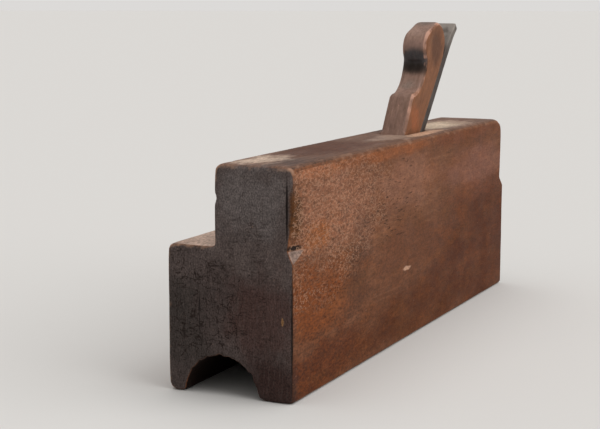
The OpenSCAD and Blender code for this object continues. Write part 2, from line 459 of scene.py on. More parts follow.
    def _cut(self, site: Site, tones: Tones, broad: Socket, fine: Socket) -> Socket:
        """Colours one cut through the wood.

        Args:
            site: Nodes of the material.
            tones: Colours of the cut.
            broad: Slow change over the face.
            fine: Streaks.

        Returns:
            The colour.
        """
        colour: Socket | str = tones.middle
        for value, share in ((broad, self.broad_share), (fine, self.fine_share)):
            for top, peak in ((tones.dark, self.dark_at), (tones.light, self.light_at)):
                colour = site.layer(colour, top, value, (NOISE_MIDDLE, peak), share)
        return colour

    def _long_grain(self, site: Site, flat: Socket) -> Socket:
        """Colours the sides, the top and the sole.

        Args:
            site: Nodes of the material.
            flat: One on the top and the sole.

        Returns:
            The colour.
        """
        streaks = site.pattern(self.streak_mm, 1.0, 4.0)
        rings = site.pattern(self.ring_mm, 2.0, 2.0)
        drift = site.pattern(self.drift_mm, 3.0)
        broad = add(
            site.tree,
            "ShaderNodeMix",
            {0: self.drift_part, 2: rings, 3: drift},
            data_type="FLOAT",
        )
        side = self._cut(site, self.side, broad, streaks)
        return site.layer(side, self._cut(site, self.face, drift, streaks), flat)

    def _end_grain(self, site: Site, across: Socket, colour: Socket) -> Socket:
        """Colours the end grain.

        Args:
            site: Nodes of the material.
            across: One on the end grain.
            colour: Colour of the long grain.

        Returns:
            The colour.
        """
        rays = site.pattern(self.ray_mm, 7.0, 4.0)
        rings = site.pattern(self.end_ring_mm, 8.0)
        fine = add(
            site.tree,
            "ShaderNodeMix",
            {0: self.end_ring_part, 2: rays, 3: rings},
            data_type="FLOAT",
        )
        drift = site.pattern(self.end_drift_mm, 9.0)
        return site.layer(colour, self._cut(site, self.end, drift, fine), across)

    def _clouds(self, site: Site, across: Socket, flat: Socket, colour: Socket) -> Socket:
        """Lays soft clouds of other hues over the upright long grain.

        Args:
            site: Nodes of the material.
            across: One on the end grain.
            flat: One on the top and the sole.
            colour: Colour so far.

        Returns:
            The colour.
        """
        other = add(site.tree, "ShaderNodeMath", {0: across, 1: flat}, operation="MAXIMUM")
        share = add(
            site.tree,
            "ShaderNodeMapRange",
            {"Value": other, "To Min": self.hue_share, "To Max": 0.0},
        )
        for seed, hue in enumerate(self.hues, start=20):
            cloud = site.pattern(self.cloud_mm, float(seed))
            colour = site.layer(colour, hue, cloud, self.hue_span, share)
        return colour

    def _mottle(self, site: Site, across: Socket, colour: Socket) -> Socket:
        """Makes the colour uneven at the scale of the pores.

        Args:
            site: Nodes of the material.
            across: One on the end grain.
            colour: Colour so far.

        Returns:
            The colour.
        """
        tree = site.tree
        grit = site.pattern(self.mottle_mm, 15.0, 4.0)
        strokes = site.pattern(self.stroke_mm, 16.0, 4.0)
        blots = site.pattern(self.blot_mm, 23.0, 2.0)
        fine = add(tree, "ShaderNodeMix", {0: across, 2: grit, 3: strokes}, data_type="FLOAT")
        swing = add(
            tree,
            "ShaderNodeMapRange",
            {
                "Value": site.most(self.opened),
                "To Min": self.sound_swing,
                "To Max": self.open_swing,
            },
        )
        swing = add(
            tree, "ShaderNodeMix", {0: across, 2: swing, 3: self.end_swing}, data_type="FLOAT"
        )
        fine = add(tree, "ShaderNodeMath", {0: fine, 1: NOISE_MIDDLE}, operation="SUBTRACT")
        fine = add(tree, "ShaderNodeMath", {0: fine, 1: swing, 2: 1.0}, operation="MULTIPLY_ADD")
        blots = add(
            tree,
            "ShaderNodeMapRange",
            {
                "Value": blots,
                "From Min": NOISE_LOW,
                "From Max": NOISE_HIGH,
                "To Min": 1 - self.blot_swing,
                "To Max": 1 + self.blot_swing,
            },
        )
        fine = add(tree, "ShaderNodeMath", {0: fine, 1: blots}, operation="MULTIPLY")
        fine = add(tree, "ShaderNodeMath", {0: fine, 1: self.least_light}, operation="MAXIMUM")
        return add(tree, "ShaderNodeVectorMath", {0: colour, "Scale": fine}, operation="SCALE")

    def _marks(self, site: Site, across: Socket, colour: Socket) -> tuple[Socket, Socket]:
        """Draws flecks, pits, pores, checks, pale rays, painted glints and scuffs.

        Args:
            site: Nodes of the material.
            across: One on the end grain.
            colour: Colour so far.

        Returns:
            The colour, and how deep the marks cut into the surface.
        """
        tree = site.tree
        along = add(tree, "ShaderNodeMath", {0: 1.0, 1: across}, operation="SUBTRACT")
        flecked, checked = (
            add(tree, "ShaderNodeMath", {0: site.most(zones), 1: few}, operation="MAXIMUM")
            for zones, few in ((self.flecked, self.few_flecks), (self.checked, self.few_checks))
        )
        scuffed = site.most(self.scuffed)
        flecks = site.pattern(self.fleck_mm, 5.0, 2.0)
        pits = site.pattern(self.pit_mm, 24.0, 2.0)
        pores = site.pattern(self.pore_mm, 10.0, 2.0)
        ring_checks = site.lines(self.ring_check_mm, 17.0, 0.016)
        ray_checks = site.lines(self.ray_check_mm, 18.0, 0.014)
        pale_rays = site.lines(self.pale_ray_mm, 19.0, 0.03)
        glints = site.pattern(self.glint_mm, 6.0, 2.0)
        scuffs = site.lines(self.scuff_mm, 11.0, 0.04)
        whole: Span = (0.0, 1.0)
        height: Socket | float = 0.0
        # Each kind of mark, the values through which it comes up, the two masks that
        # place it, its colour, and how much of that colour shows.
        for mark, span, places, top, share in (
            (flecks, (0.53, 0.7), (flecked, along), self.pore, 0.75),
            (pits, (0.57, 0.68), (checked, across), self.pore, 0.8),
            (pores, (0.66, 0.75), (0.5, 1.0), self.pore, 0.6),
            (ring_checks, whole, (checked, across), self.pore, 0.9),
            (ray_checks, whole, (checked, across), self.pore, 0.8),
            (pale_rays, whole, (0.5, across), self.end.light, 0.35),
            # Pale specks: painted glints of light.
            (glints, (0.68, 0.76), (0.6, 1.0), self.rubbed, 0.5),
            (scuffs, whole, (scuffed, along), self.bruised, 0.45),
        ):
            where = add(
                tree, "ShaderNodeMath", {0: places[0], 1: places[1]}, operation="MULTIPLY"
            )
            depth = add(
                tree,
                "ShaderNodeMapRange",
                {"Value": mark, "From Min": span[0], "From Max": span[1], "To Max": where},
                interpolation_type="SMOOTHSTEP",
            )
            colour = site.layer(colour, top, depth, share=share)
            height = add(tree, "ShaderNodeMath", {0: depth, 1: height}, operation="MAXIMUM")
        return colour, height

    def _arrises(self, site: Site, colour: Socket) -> tuple[Socket, Socket]:
        """Rubs the arrises pale and darkens inner corners and recesses with painted shade.

        Args:
            site: Nodes of the material.
            colour: Colour so far.

        Returns:
            The colour, and where the wood is rubbed.
        """
        edge, corner_shade = (
            add(site.tree, "ShaderNodeAttribute", {}, attribute_name=name).node.outputs["Fac"]
            for name in ("wear", "painted_shade")
        )
        torn = site.pattern(self.rub_mm, 12.0, 4.0)
        rub = add(
            site.tree,
            "ShaderNodeMath",
            {0: torn, 1: self.rub_tear, 2: edge},
            operation="MULTIPLY_ADD",
        )
        colour = site.layer(colour, self.rubbed, rub, self.rub_span, self.rub_share)
        # Painted shade in inner corners and recesses, in the pore colour.
        return site.layer(colour, self.pore, corner_shade), rub

    def _surface(
        self, site: Site, shader: bpy.types.Node, across: Socket, marks: Socket, rub: Socket
    ) -> None:
        """Sets the sheen and the relief.

        Args:
            site: Nodes of the material.
            shader: The shader that takes them.
            across: One on the end grain.
            marks: How deep the marks cut in.
            rub: Where the arrises are rubbed.
        """
        tree = site.tree
        rough = add(
            tree,
            "ShaderNodeMath",
            {
                0: site.pattern(self.sheen_mm, 13.0, 5.0),
                1: self.sheen_swing,
                2: self.roughness - self.sheen_swing * NOISE_MIDDLE,
            },
            operation="MULTIPLY_ADD",
        )
        for more, by in (
            (across, self.end_rough),
            (marks, self.mark_rough),
            (rub, self.rub_rough),
        ):
            rough = add(
                tree, "ShaderNodeMath", {0: more, 1: by, 2: rough}, operation="MULTIPLY_ADD"
            )
        tree.links.new(rough, shader.inputs["Roughness"])
        shader.inputs["IOR"].default_value = self.ior
        shader.inputs["Specular IOR Level"].default_value = self.specular
        height = site.pattern(self.streak_mm, 1.0, 4.0)
        grit = site.pattern(self.grit_mm, 14.0)
        for more, by in ((grit, self.grit_height), (marks, self.mark_height)):
            height = add(
                tree, "ShaderNodeMath", {0: more, 1: by, 2: height}, operation="MULTIPLY_ADD"
            )
        relief = add(
            tree,
            "ShaderNodeBump",
            {"Height": height, "Distance": self.relief_mm * MM, "Strength": self.relief_share},
        )
        tree.links.new(relief, shader.inputs["Normal"])


@dataclass(frozen=True)
class ForgedSteel:
    """Forged and ground tool steel with an old brown patina.

    Hammered flats show soft mottling and grinding lines along the length. The end of
    the tang is handled and grey, the rest is brown from damp wood and darkened further as
    painted shade, edges are rubbed bright.
    """

    name: str
    bare: str
    patina_and_shade: str
    rust: str
    # Distances up the bed at which the steel is still grey and at which it is all brown.
    handled_mm: Span
    # Grinding lines are finer than a pixel, so they are drawn half a millimetre wide.
    line_mm: Triple = (0.6, 30.0, 1.0)
    blot_mm: Triple = (5.0, 5.0, 5.0)
    pit_mm: Triple = (0.9, 0.9, 0.9)
    cloud_mm: Triple = (14.0, 22.0, 14.0)
    # Metallic of the grey end and of the brown rest, where rust covers the metal.
    metallic: Span = (0.8, 0.3)
    roughness: float = 0.36
    blot_rough: float = 0.4
    # Height of the relief and how much it shows, and what pits do to it.
    relief_mm: float = 0.15
    relief_share: float = 0.5
    pit_height: float = -0.5

    def material(self) -> bpy.types.Material:
        """Builds the material with its nodes.

        Returns:
            A new material.
        """
        made = bpy.data.materials.new(self.name)
        made.use_nodes = True
        tree = made.node_tree
        shader = tree.nodes["Principled BSDF"]
        site = Site(tree, Lie.UP_BED)
        lines = site.pattern(self.line_mm, 1.0, 5.0)
        blots = site.pattern(self.blot_mm, 2.0, 5.0)
        pits = site.pattern(self.pit_mm, 4.0, 5.0)
        cloud = site.pattern(self.cloud_mm, 3.0, 5.0)
        up_bed = add(tree, "ShaderNodeSeparateXYZ", {0: site.grain}).node.outputs["Y"]
        edge = add(tree, "ShaderNodeAttribute", {}, attribute_name="wear").node.outputs["Fac"]
        colour: Socket | str = self.bare
        # Each colour on top, what decides where, through which values, and how much.
        for top, value, span, share in (
            (self.patina_and_shade, cloud, (0.4, 0.62), 0.6),
            (self.patina_and_shade, up_bed, self.handled_mm, 0.9),
            (self.bare, lines, (0.5, 0.72), 0.2),
            (self.rust, blots, (0.56, 0.7), 0.5),
            (self.rust, pits, (0.64, 0.76), 0.7),
            (self.bare, edge, (0.0, 1.0), 1.0),
        ):
            colour = site.layer(colour, top, value, span, share)
        tree.links.new(colour, shader.inputs["Base Color"])
        rough = add(
            tree,
            "ShaderNodeMath",
            {0: blots, 1: self.blot_rough, 2: self.roughness},
            operation="MULTIPLY_ADD",
        )
        tree.links.new(rough, shader.inputs["Roughness"])
        metal = add(
            tree,
            "ShaderNodeMapRange",
            {
                "Value": up_bed,
                "From Min": self.handled_mm[0],
                "From Max": self.handled_mm[1],
                "To Min": self.metallic[0],
                "To Max": self.metallic[1],
            },
        )
        tree.links.new(metal, shader.inputs["Metallic"])
        height = add(
            tree,
            "ShaderNodeMath",
            {0: pits, 1: self.pit_height, 2: lines},
            operation="MULTIPLY_ADD",
        )
        relief = add(
            tree,
            "ShaderNodeBump",
            {"Height": height, "Distance": self.relief_mm * MM, "Strength": self.relief_share},
        )
        tree.links.new(relief, shader.inputs["Normal"])
        return made


@dataclass(frozen=True)
class Dent:
    """A bruise pressed into a surface, in millimetres."""

    at_mm: Triple
    reach_mm: float
    depth_mm: float


@dataclass
class WornSolid:
    """A dense copy of a CAD node whose arrises and faces can be worn.

    The copy keeps the node's place. Its points lie a fixed spacing apart, so wear is
    real shape and shows in the outline.
    """

    node: str
    spacing_mm: float
    # Reach over which arrises and inner corners are felt.
    edge_rounds: int = 6
    # Depth of an inner corner that is fully darkened with painted shade.
    shade_full_mm: float = 0.3
    piece: bpy.types.Object = field(init=False)
    points: np.ndarray = field(init=False)
    normals: np.ndarray = field(init=False)
    edges: np.ndarray = field(init=False)
    bulge: np.ndarray = field(init=False)

    def __post_init__(self) -> None:
        """Copies the node and lays an even mesh over it."""
        source = bpy.data.objects.new(f"{self.node}_copy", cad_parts[self.node].data.copy())
        bpy.context.scene.collection.objects.link(source)
        even = source.modifiers.new("even", "REMESH")
        even.mode = "VOXEL"
        even.voxel_size = self.spacing_mm * MM
        even.use_smooth_shade = True
        seen = source.evaluated_get(bpy.context.evaluated_depsgraph_get())
        mesh = bpy.data.meshes.new_from_object(seen)
        bpy.data.objects.remove(source)
        mesh.name = f"worn_{self.node}"
        mesh.materials.clear()
        self.piece = bpy.data.objects.new(f"worn_{self.node}", mesh)
        bpy.context.scene.collection.objects.link(self.piece)
        count = len(mesh.vertices)
        self.points = np.empty(count * 3)
        mesh.vertices.foreach_get("co", self.points)
        self.points = self.points.reshape(-1, 3) / MM
        self.edges = np.empty(len(mesh.edges) * 2, dtype=np.int64)
        mesh.edges.foreach_get("vertices", self.edges)
        self.edges = self.edges.reshape(-1, 2)
        self.normals = np.empty(count * 3)
        mesh.vertex_normals.foreach_get("vector", self.normals)
        self.normals = self.normals.reshape(-1, 3)
        self.bulge = ((self.points - self.eased(self.points, self.edge_rounds)) * self.normals).sum(1)

    def eased(self, values: np.ndarray, rounds: int) -> np.ndarray:
        """Averages values with those of the neighbouring points.

        Args:
            values: One row for each point.
            rounds: How often the average is taken.

        Returns:
            The eased values.
        """
        one, two = self.edges.T
        size = len(values)
        share = np.bincount(one, minlength=size) + np.bincount(two, minlength=size)
        share = np.maximum(share, 1)
        for _ in range(rounds):
            near = [
                np.bincount(one, column[two], size) + np.bincount(two, column[one], size)
                for column in values.T
            ]
            values = 0.5 * values + 0.5 * np.stack(near, 1) / share[:, None]
        return values

    def ripple(self, size_mm: float, seed: float) -> np.ndarray:
        """Gives each point a smooth random value.

        Args:
            size_mm: Distance between crests.
            seed: Offset that tells one pattern from the next.

        Returns:
            Values from about minus one to one.
        """
        places = self.points / size_mm + seed
        return np.fromiter((noise.noise(Vector(p)) for p in places), float, len(places))

    def near(self, at_mm: Triple, reach_mm: float) -> np.ndarray:
        """Gives each point a value that fades from one at a place to zero beyond its reach."""
        far = np.linalg.norm(self.points - np.array(at_mm), axis=1)
        return np.exp(-((far / reach_mm) ** 2))

    def wear(self, rounds: int, share: np.ndarray) -> None:
        """Rounds the arrises over and leaves inner corners sharp.

        Args:
            rounds: Reach of the rounding.
            share: How far each point goes towards the rounded shape.
        """
        move = self.eased(self.points, rounds) - self.points
        out = (move * self.normals).sum(1) < 0
        self.points = self.points + move * (share * out)[:, None]

    def push(self, depth_mm: np.ndarray) -> None:
        """Moves each point inward along its normal."""
        self.points = self.points - self.normals * depth_mm[:, None]

    def dent(self, dents: Sequence[Dent]) -> None:
        """Presses bruises into the surface."""
        for bruise in dents:
            self.push(bruise.depth_mm * self.near(bruise.at_mm, bruise.reach_mm / math.sqrt(2)))

    def finish(
        self,
        body: str,
        slot: str,
        material: bpy.types.Material,
        rubbed: np.ndarray,
        recess_shade: np.ndarray | float = 0.0,
    ) -> bpy.types.Object:
        """Writes the worn shape back and puts it in the node's place.

        Args:
            body: Body that carries the piece.
            slot: Not used.
            material: Finish of the piece.
            rubbed: How much handling each point has had, for each millimetre of bulge.
            recess_shade: How much painted shade each point gets in recesses.

        Returns:
            The finished piece.
        """
        mesh = self.piece.data
        mesh.vertices.foreach_set("co", (self.points * MM).ravel())
        bulge = self.eased(self.bulge[:, None], self.edge_rounds // 2)[:, 0]
        # Painted shade: darkest in inner corners and in the recesses given.
        painted_shade = np.maximum(-bulge / self.shade_full_mm, recess_shade)
        for name, value in (("wear", bulge * rubbed), ("painted_shade", painted_shade)):
            layer = mesh.attributes.new(name, "FLOAT", "POINT")
            layer.data.foreach_set("value", np.clip(value, 0, 1))
        mesh.materials.append(material)
        mesh.update()
        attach(self.piece, body)
        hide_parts(self.node)
        return self.piece


@dataclass
class Stock:
    """The beech body of the plane."""

    spacing_mm: float = 0.6
    # Bruises from use, the last five of them nicks in the front arris of the shoulder.
    dents: tuple[Dent, ...] = (
        Dent((-5.4, -120.5, 70.5), 2.0, 0.7),
        Dent((-5.6, -111.0, 82.7), 2.2, 0.8),
        Dent((20.7, -120.5, 29.0), 1.6, 0.35),
        Dent((24.6, -11.0, 29.7), 2.4, 0.3),
        Dent((-24.6, -60.0, 53.4), 3.0, 0.8),
        Dent((-24.6, 46.0, 53.4), 4.0, 0.9),
        Dent((24.6, 20.0, 82.7), 2.6, 0.6),
        Dent((-5.6, 34.0, 82.7), 3.0, 0.9),
        Dent((-24.6, 100.0, 22.0), 5.0, 0.3),
        Dent((2.0, 120.5, 60.0), 4.0, 0.4),
        Dent((9.5, 120.5, 64.0), 5.0, 0.5),
        Dent((13.0, 120.5, 55.0), 4.0, 0.4),
        Dent((-21.8, -120.5, 53.4), 1.8, 0.5),
        Dent((-18.4, -120.5, 53.4), 1.4, 0.6),
        Dent((-15.9, -120.5, 53.4), 1.2, 0.4),
        Dent((-12.2, -120.5, 53.4), 1.6, 0.6),
        Dent((-9.1, -120.5, 53.4), 1.3, 0.5),
    )
    # Corners that hands and shelves have rounded, with the reach of the rounding.
    corners: tuple[tuple[Triple, float], ...] = (
        ((24.6, -120.5, 82.7), 5.0),
        ((-5.6, -120.5, 82.7), 6.0),
        ((24.6, 120.5, 82.7), 10.0),
        ((-5.6, 120.5, 82.7), 10.0),
        ((-24.6, -120.5, 53.4), 5.0),
        ((-24.6, -120.5, 0.0), 4.0),
        ((-17.7, -120.5, 0.0), 3.0),
        ((10.9, -120.5, 0.0), 4.0),
        ((24.6, -120.5, 0.0), 2.5),
    )
    # Half the width, the top, the shoulder and the upright face behind the shoulder.
    half_width: float = 24.6
    top_z: float = 82.7
    shoulder_z: float = 53.4
    upright_x: float = -5.6
    # Height from which the upright face counts, and place up to which the shoulder does.
    above_shoulder: float = 50.0
    on_shoulder: float = -4.0
    # Rounding of the arrises: its reach, its share and the least of it, and the swing and
    # length of its waves; then the rounding of the corners.
    arris_rounds: int = 3
    arris_share: float = 0.55
    arris_least: float = 0.1
    arris_swing: float = 0.6
    arris_wave: float = 9.0
    corner_rounds: int = 14
    corner_share: float = 0.8
    # The hollow of the sole, whose arris on the ends has lost small chips.
    hollow_x: float = -3.4
    hollow_radius: float = 14.3
    chip_mm: float = 1.9
    chip_depth: float = 0.65
    chip_reach: float = 1.5
    # Long and short waves of the old faces, their heights, and the wood lost all over.
    long_wave: float = 24.0
    long_height: float = 0.07
    short_wave: float = 5.0
    short_height: float = 0.03
    lost_mm: float = 0.05
    # Wear inside the mortise, which leaves the iron and the wedge free to slide.
    slack_mm: float = 0.1
    # Distances from mid-length within which the mortise lies, and beyond which the ends do.
    mortise_y: float = 100.0
    end_y: float = 118.0
    # How deep inside the outer faces the mortise begins, how far out the hollow's painted shade
    # reaches, the cosine toward the ends below which a surface runs along it, and the painted shade
    # in the hollow and inside the mortise.
    skin_mm: float = 1.5
    shaded_mm: float = 1.8
    along_turn: float = 0.5
    hollow_shade: float = 0.95
    mortise_shade: float = 0.55
    # Rubbing of every arris, what hands add, and the part of it on shoulder and foot.
    least_rub: float = 0.5
    hand_rub: float = 3.6
    shoulder_rub: float = 0.8
    foot_rub: float = 0.6
    # Where hands rub: the top, the shoulder's side, and its front and foot at the toe.
    rub_from: float = 74.0
    rub_over: float = 6.0
    rub_reach: float = 3.0
    side_x: float = -20.0
    front_x: float = -6.0
    foot_x: float = -22.0
    toe_y: float = -117.0
    finish: AgedBeech = AgedBeech(
        name="oiled_beech_stock",
        lie=Lie.ALONG_STOCK,
        side=Tones("#5a3219", "#6c432b", "#875b41"),
        face=Tones("#4a3226", "#644636", "#85685a"),
        end=Tones("#3e3432", "#524744", "#675b57"),
        rubbed="#b08a72",
        bruised="#c79b7f",
        pore="#1c110c",
        hues=("#92501f", "#7a4c26", "#75492f"),
        patches=(
            # Blind side: broad stains, then the top arris with its orange band painted as a
            # highlight, then small stains.
            Patch("#885941", Zone((24.6, -88, 64), (7, 52, 24), 0.7, facing=BLIND)),
            Patch("#71380f", Zone((24.6, -100, 34), (7, 48, 18), 0.75, facing=BLIND)),
            Patch("#572808", Zone((24.6, -95, 8), (7, 64, 15), 0.85, facing=BLIND)),
            Patch("#875b45", Zone((24.6, -10, 66), (7, 50, 15), 0.7, facing=BLIND)),
            Patch("#643b24", Zone((24.6, -5, 38), (7, 64, 16), 0.75, 0.3, facing=BLIND)),
            Patch("#532809", Zone((24.6, 0, 10), (7, 84, 17), 0.88, 0.3, facing=BLIND)),
            Patch("#4f2408", Zone((24.6, 92, 26), (9, 92, 44), 0.9, 0.25, 14.0, BLIND)),
            Patch("#7a4f3e", Zone((24.6, 80, 64), (7, 58, 13), 0.8, 0.4, facing=BLIND)),
            Patch("#683820", Zone((24.6, 78, 52), (7, 52, 6), 0.6, facing=BLIND)),
            Patch("#62371f", Zone((24.6, 76, 78), (7, 60, 8), 0.7, 0.4, facing=BLIND)),
            Patch("#8a4f2b", Zone((24.6, -40, 79.5), (7, 78, 3.5), 0.7, 0.8, facing=BLIND)),
            Patch("#6c3d24", Zone((24.6, 60, 79.5), (7, 70, 4), 0.7, 0.8, facing=BLIND)),
            Patch("#654436", Zone((24.6, -56, 50), (5, 14, 11), 0.5, facing=BLIND)),
            Patch("#8a4f25", Zone((24.6, -100, 56), (6, 17, 7), 0.7, 0.5, 5.0, BLIND)),
            Patch("#58331d", Zone((24.6, -63, 35), (6, 18, 19), 0.75, 0.5, 6.0, BLIND)),
            Patch("#965f41", Zone((24.6, -103, 80), (6, 22, 5), 0.8, 0.4, 4.0, BLIND)),
            # Toe.
            Patch("#37312e", Zone((-20, -120.5, 24), (18, 6, 28), 0.7)),
            Patch("#433835", Zone((-2, -120.5, 34), (17, 6, 20), 0.65)),
            Patch("#462f2a", Zone((12, -120.5, 30), (18, 6, 22), 0.65)),
            Patch("#321f1b", Zone((17, -120.5, 6), (16, 6, 15), 0.75)),
            Patch("#655d5b", Zone((9, -120.5, 70), (22, 6, 18), 0.75)),
            # Top, from toe to heel, and shoulder.
            # Pale patch at the toe end of the top: dusty worn wood, with a painted sheen.
            Patch("#bda592", Zone((5, -101, 82.7), (11, 23, 4), 0.85, 0.7, 4.0, UP)),
            Patch("#3c2a24", Zone((17, -106, 82.7), (8, 16, 4), 0.6, 0.6, 4.0, UP)),
            Patch("#4a230b", Zone((8, -55, 82.7), (18, 46, 4), 0.8, facing=UP)),
            Patch("#9c8474", Zone((14, 3, 82.7), (13, 28, 4), 0.6, 0.8, 5.0, UP)),
            Patch("#9d8370", Zone((12, 66, 82.7), (14, 38, 4), 0.8, 0.7, 5.0, UP)),
            Patch("#c9b29a", Zone((9, 56, 82.7), (13, 30, 4), 0.9, 0.4, 5.0, UP)),
            Patch("#c59c80", Zone((20, 20, 82.7), (5, 26, 4), 0.75, 0.5, 3.0, UP)),
            Patch("#c4a998", Zone((-13, -102, 53.4), (18, 38, 5), 0.85, 0.35, 4.0, UP)),
            Patch("#92786a", Zone((-19, 30, 53.4), (9, 90, 5), 0.5, 0.5, 5.0, UP)),
            # Chamfer of the toe darkened as painted shade, its dark borders, the painted shade in the
            # crease above its stop, and the stop painted pale as a highlight.
            Patch("#523115", Zone((24.6, -119, 65), (2.1, 9.5, 15), 0.85, 0.25, 3.0)),
            Patch("#150d0a", Zone((22.5, -120.5, 68), (0.6, 0.9, 16), 0.95, 0.15, 3.0)),
            Patch("#120b08", Zone((24.5, -120.5, 25), (0.8, 1.0, 30), 0.95, 0.15, 3.0)),
            Patch("#160d0a", Zone((23.3, -116.5, 54.4), (3, 7, 1.3), 0.9, 0.2, 2.0)),
            Patch("#8d776c", Zone((23.4, -116, 51.4), (4, 9, 4), 0.9, 0.1, 2.0, (0.88, -0.19, 0.43))),
            # Two bruises and a check in the toe.
            Patch("#c99d82", Zone((24.6, -11, 29.7), (3, 5.0, 1.2), 0.9, 0.5, 1.5)),
            Patch("#8f6a45", Zone((20.7, -120.5, 29), (0.7, 3, 1.8), 0.8, 0.3, 1.0)),
            Patch("#1c1513", Zone((-11.8, -120.5, 30), (0.45, 3, 10), 0.7, 0.3, 3.0)),
            # Heel.
            Patch("#6b4f40", Zone((6, 120.5, 58), (22, 6, 30), 0.75, 0.6)),
            Patch("#3a2a24", Zone((-14, 120.5, 22), (16, 6, 24), 0.7, 0.6)),
            Patch("#4a3226", Zone((16, 120.5, 14), (13, 6, 20), 0.7, 0.6)),
            # Side of the escapement, below and above the shoulder.
            Patch("#7c4a2c", Zone((-24.6, -86, 28), (7, 40, 20), 0.6, facing=BLIND)),
            Patch("#4b2916", Zone((-24.6, -26, 42), (7, 34, 14), 0.6, facing=BLIND)),
            Patch("#855a43", Zone((-24.6, 60, 44), (7, 62, 9), 0.6, facing=BLIND)),
            Patch("#4f260e", Zone((-24.6, 76, 14), (7, 66, 16), 0.7, facing=BLIND)),
            Patch("#7d5138", Zone((-5.6, -58, 70), (6, 62, 12), 0.6, facing=BLIND)),
            Patch("#56301c", Zone((-5.6, 76, 64), (6, 44, 12), 0.65, facing=BLIND)),
        ),
        scuffed=(Zone((24.6, -120, 66), (9, 112, 38), 1.0, 0.7, 14.0, BLIND),),
        flecked=(
            Zone((24.6, -30, 60), (7, 64, 24), 0.8, 0.6, 9.0),
            Zone((24.6, -86, 40), (7, 36, 22), 0.65, 0.6, 9.0),
            Zone((-24.6, 46, 32), (7, 62, 22), 0.7, 0.6, 9.0),
        ),
        opened=(
            Zone((24.6, -120.5, 40), (9, 94, 66), 1.0, 0.5, 12.0),
            Zone((8, -120.5, 82.7), (24, 44, 6), 0.6, 0.5, 8.0),
            Zone((-14, -118, 53.4), (18, 30, 4), 0.8, 0.5, 6.0),
        ),
        checked=(
            Zone((-10, -120.5, 28), (26, 8, 34), 0.75, 0.9, 5.0),
            Zone((10, -120.5, 40), (15, 8, 45), 0.5, 1.0, 4.0),
            Zone((0, 120.5, 36), (30, 8, 48), 0.4, 1.0, 6.0),
        ),
    )

    def build(self) -> bpy.types.Object:
        """Wears the stock and dresses it.

        Returns:
            The finished piece.
        """
        solid = WornSolid("stock", self.spacing_mm)
        x, y, z = solid.points.T
        share = self.arris_share + self.arris_swing * solid.ripple(self.arris_wave, 3.0)
        solid.wear(self.arris_rounds, np.clip(share, self.arris_least, 1.0))
        corner = np.max([solid.near(at, reach) for at, reach in self.corners], axis=0)
        solid.wear(self.corner_rounds, self.corner_share * corner)
        outward = np.stack([x - self.hollow_x, np.zeros_like(x), z], 1)
        radius = np.hypot(x - self.hollow_x, z)
        nibbled = np.exp(-(((radius - self.hollow_radius) / self.chip_reach) ** 2))
        nibbled = nibbled * (np.abs(y) > self.end_y)
        bite = self.chip_depth * nibbled * np.clip(2 * solid.ripple(self.chip_mm, 11.0), 0, 1)
        solid.points = solid.points + outward * (bite / np.maximum(radius, 1))[:, None]
        recess_shade = self.recess_shade(solid)
        sunk = self.long_height * solid.ripple(self.long_wave, 8.0)
        sunk = sunk + self.short_height * solid.ripple(self.short_wave, 5.0) + self.lost_mm
        solid.push(np.maximum(sunk, np.where(recess_shade > 0, self.slack_mm, -1)))
        solid.dent(self.dents)
        top = np.clip((z - self.rub_from) / self.rub_over, 0, 1)
        at_toe = y < self.toe_y
        ledge = (x < self.side_x) | ((x < self.front_x) & at_toe)
        shoulder = np.exp(-(((z - self.shoulder_z) / self.rub_reach) ** 2)) * ledge
        foot = self.foot_rub * (x < self.foot_x) * at_toe
        hands = np.max([top, self.shoulder_rub * shoulder, foot], axis=0)
        rubbed = (self.least_rub + self.hand_rub * hands) * (1 - nibbled)
        return solid.finish("stock", "beech_stock", self.finish.material(), rubbed, recess_shade)

    def recess_shade(self, solid: WornSolid) -> np.ndarray:
        """Finds the recesses of the stock, which get painted shade.

        Args:
            solid: The worn stock.

        Returns:
            How much painted shade each point gets: most in the hollow of the sole, less
            inside the mortise, none on the outer faces.
        """
        x, y, z = solid.points.T
        inside = np.hypot(x - self.hollow_x, z) < self.hollow_radius + self.shaded_mm
        hollow = inside & (np.abs(solid.normals[:, 1]) < self.along_turn)
        near = [
            np.abs(x - self.half_width),
            np.abs(x + self.half_width),
            np.abs(z),
            np.abs(z - self.top_z),
            np.where(z > self.above_shoulder, np.abs(x - self.upright_x), np.inf),
            np.where(x < self.on_shoulder, np.abs(z - self.shoulder_z), np.inf),
        ]
        deep = (np.min(near, axis=0) > self.skin_mm) & (np.abs(y) < self.mortise_y)
        return np.maximum(hollow * self.hollow_shade, deep * self.mortise_shade)


@dataclass
class Iron:
    """The tanged cutter, whose end is spread by hammer taps."""

    spacing_mm: float = 0.5
    struck_from: float = 116.0
    struck_over: float = 14.0
    spread: float = 0.16
    upset_mm: float = 0.9
    # Rounding and rubbing of the arrises, hammered waves and their height, ground-off steel.
    arris_rounds: int = 2
    arris_share: float = 0.6
    arris_rub: float = 1.2
    hammer_wave: float = 9.0
    hammer_height: float = 0.04
    ground_mm: float = 0.07
    finish: ForgedSteel = ForgedSteel(
        name="forged_steel_iron",
        bare="#7d756e",
        # Brown patina, darkened further as painted shade.
        patina_and_shade="#2b1a0f",
        rust="#2a1a11",
        handled_mm=(140.0, 122.0),
    )

    def build(self) -> bpy.types.Object:
        """Wears the iron and dresses it.

        Returns:
            The finished piece.
        """
        solid = WornSolid("iron", self.spacing_mm)
        solid.wear(self.arris_rounds, np.full(len(solid.points), self.arris_share))
        solid.push(self.hammer_height * solid.ripple(self.hammer_wave, 2.0) + self.ground_mm)
        struck = np.clip((solid.points[:, 2] - self.struck_from) / self.struck_over, 0, 1) ** 2
        middle = solid.points[struck > 0.5, 0].mean()
        solid.points[:, 0] += self.spread * struck * (solid.points[:, 0] - middle)
        solid.points[:, 2] -= self.upset_mm * struck
        handled = np.full(len(solid.points), self.arris_rub)
        return solid.finish("iron", "tool_steel", self.finish.material(), handled)


